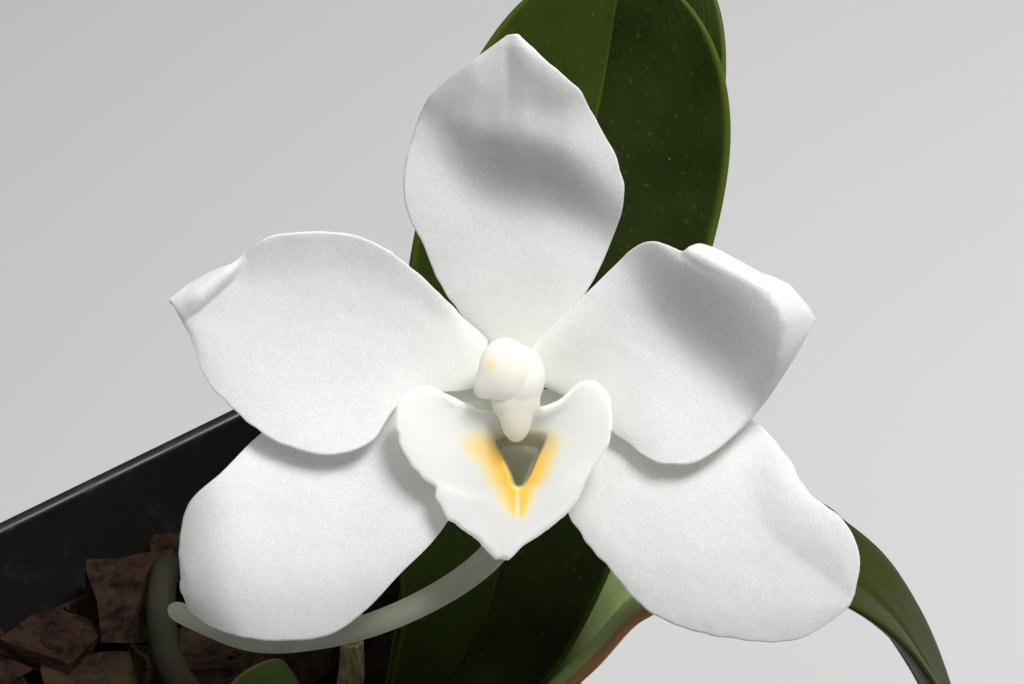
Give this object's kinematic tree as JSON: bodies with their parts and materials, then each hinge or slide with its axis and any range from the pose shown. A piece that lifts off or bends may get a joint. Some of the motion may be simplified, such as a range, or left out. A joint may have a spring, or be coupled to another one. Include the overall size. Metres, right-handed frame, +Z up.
{
  "type": "potted orchid",
  "caption": "Small orchid with a white long-spurred flower and fleshy oval leaves, growing in bark in a square tapered plastic pot.",
  "frame": {"origin": "middle of the pot's flat underside", "axes": "+Z up, X and Y along the sides of the square pot; the flower faces -Y, turned a little to -X and tipped up"},
  "size_m": [0.0946, 0.0738, 0.1094],
  "materials": {
    "pot_plastic": "satin dark grey plastic",
    "bark": "rough red-brown conifer bark",
    "sheath": "dry pale leaf sheath",
    "root": "silvery green, matt",
    "leaf": "waxy green leaf",
    "young_leaf": "waxy light green leaf",
    "petal": "white petal with a crystalline sparkle",
    "lip": "white, yellow round the spur mouth",
    "column": "cream white, waxy",
    "ovary": "pale green white"
  },
  "bodies": {
    "root": {"pot": "pot_plastic", "bark": "bark", "stem": "sheath", "flower_stalk": "sheath", "root_1": "root", "root_2": "root", "root_3": "root", "root_4": "root", "leaf_back": "leaf", "leaf_far": "leaf", "leaf_front": "leaf", "leaf_right": "young_leaf", "leaf_left": "young_leaf", "dorsal_sepal": "petal", "left_petal": "petal", "right_petal": "petal", "left_lateral_sepal": "petal", "right_lateral_sepal": "petal", "lip": "lip", "column": "column", "anther_cap": "column", "ovary": "ovary"}
  },
  "joints": []
}
